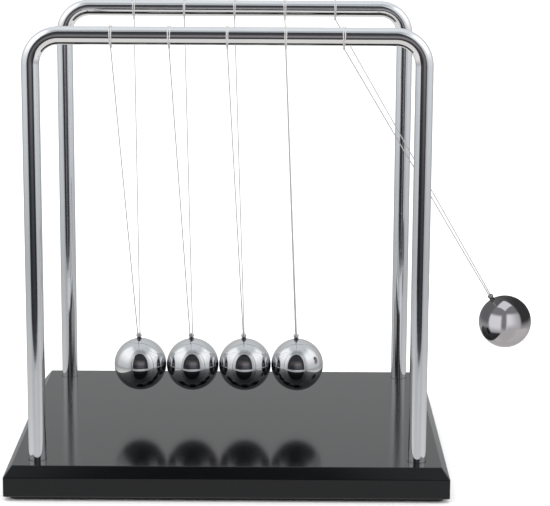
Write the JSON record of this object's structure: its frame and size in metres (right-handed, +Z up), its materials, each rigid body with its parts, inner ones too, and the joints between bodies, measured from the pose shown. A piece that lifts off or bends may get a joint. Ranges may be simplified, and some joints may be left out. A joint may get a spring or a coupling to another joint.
{
  "type": "newtons cradle",
  "caption": "Newton's cradle: a bevelled black board carries two bent chrome rods, and steel balls hang between them on nylon lines.",
  "frame": {"origin": "middle of the underside that rests on the table", "axes": "+X along the row of balls towards the raised ball, +Y from the front rod to the rear rod, +Z up"},
  "size_m": [0.2141, 0.15, 0.185],
  "materials": {
    "board_lacquer": "glossy black lacquer on fibreboard",
    "foam_sheet": "matt black closed-cell foam",
    "rod_chrome": "bright chrome plating",
    "ball_steel": "mirror-polished steel",
    "eye_metal": "turned steel, bright plated",
    "screw_steel": "zinc plated",
    "washer_steel": "zinc plated",
    "nylon_line": "clear nylon monofilament"
  },
  "bodies": {
    "stand": {"base_board": "board_lacquer", "underside_sheet": "foam_sheet", "front_rod": "rod_chrome", "rear_rod": "rod_chrome", "front_left_screw": "screw_steel", "front_left_washer": "washer_steel", "front_right_screw": "screw_steel", "front_right_washer": "washer_steel", "front_wrap_1": "nylon_line", "front_wrap_2": "nylon_line", "front_wrap_3": "nylon_line", "front_wrap_4": "nylon_line", "front_wrap_5": "nylon_line", "rear_left_screw": "screw_steel", "rear_left_washer": "washer_steel", "rear_right_screw": "screw_steel", "rear_right_washer": "washer_steel", "rear_wrap_1": "nylon_line", "rear_wrap_2": "nylon_line", "rear_wrap_3": "nylon_line", "rear_wrap_4": "nylon_line", "rear_wrap_5": "nylon_line"},
    "pendulum_1": {"ball_1": "ball_steel", "eye_1": "eye_metal", "line_1": "nylon_line", "front_knot_1": "nylon_line", "rear_knot_1": "nylon_line"},
    "pendulum_2": {"ball_2": "ball_steel", "eye_2": "eye_metal", "line_2": "nylon_line", "front_knot_2": "nylon_line", "rear_knot_2": "nylon_line"},
    "pendulum_3": {"ball_3": "ball_steel", "eye_3": "eye_metal", "line_3": "nylon_line", "front_knot_3": "nylon_line", "rear_knot_3": "nylon_line"},
    "pendulum_4": {"ball_4": "ball_steel", "eye_4": "eye_metal", "line_4": "nylon_line", "front_knot_4": "nylon_line", "rear_knot_4": "nylon_line"},
    "pendulum_5": {"ball_5": "ball_steel", "eye_5": "eye_metal", "line_5": "nylon_line", "front_knot_5": "nylon_line", "rear_knot_5": "nylon_line"}
  },
  "joints": [
    {"name": "ball_1_swing", "type": "hinge", "parent": "stand", "child": "pendulum_1", "pos_m": [-0.0443, 0, 0.1765], "axis": [0, -1, 0], "range_deg": [-55, 0.05]},
    {"name": "ball_2_swing", "type": "hinge", "parent": "stand", "child": "pendulum_2", "pos_m": [-0.02215, 0, 0.1765], "axis": [0, -1, 0], "range_deg": [-0.05, 0.05]},
    {"name": "ball_3_swing", "type": "hinge", "parent": "stand", "child": "pendulum_3", "pos_m": [0, 0, 0.1765], "axis": [0, -1, 0], "range_deg": [-0.05, 0.05]},
    {"name": "ball_4_swing", "type": "hinge", "parent": "stand", "child": "pendulum_4", "pos_m": [0.02215, 0, 0.1765], "axis": [0, -1, 0], "range_deg": [-0.05, 28]},
    {"name": "ball_5_swing", "type": "hinge", "parent": "stand", "child": "pendulum_5", "pos_m": [0.0443, 0, 0.1765], "axis": [0, -1, 0], "range_deg": [-28.1, 26.95]}
  ]
}
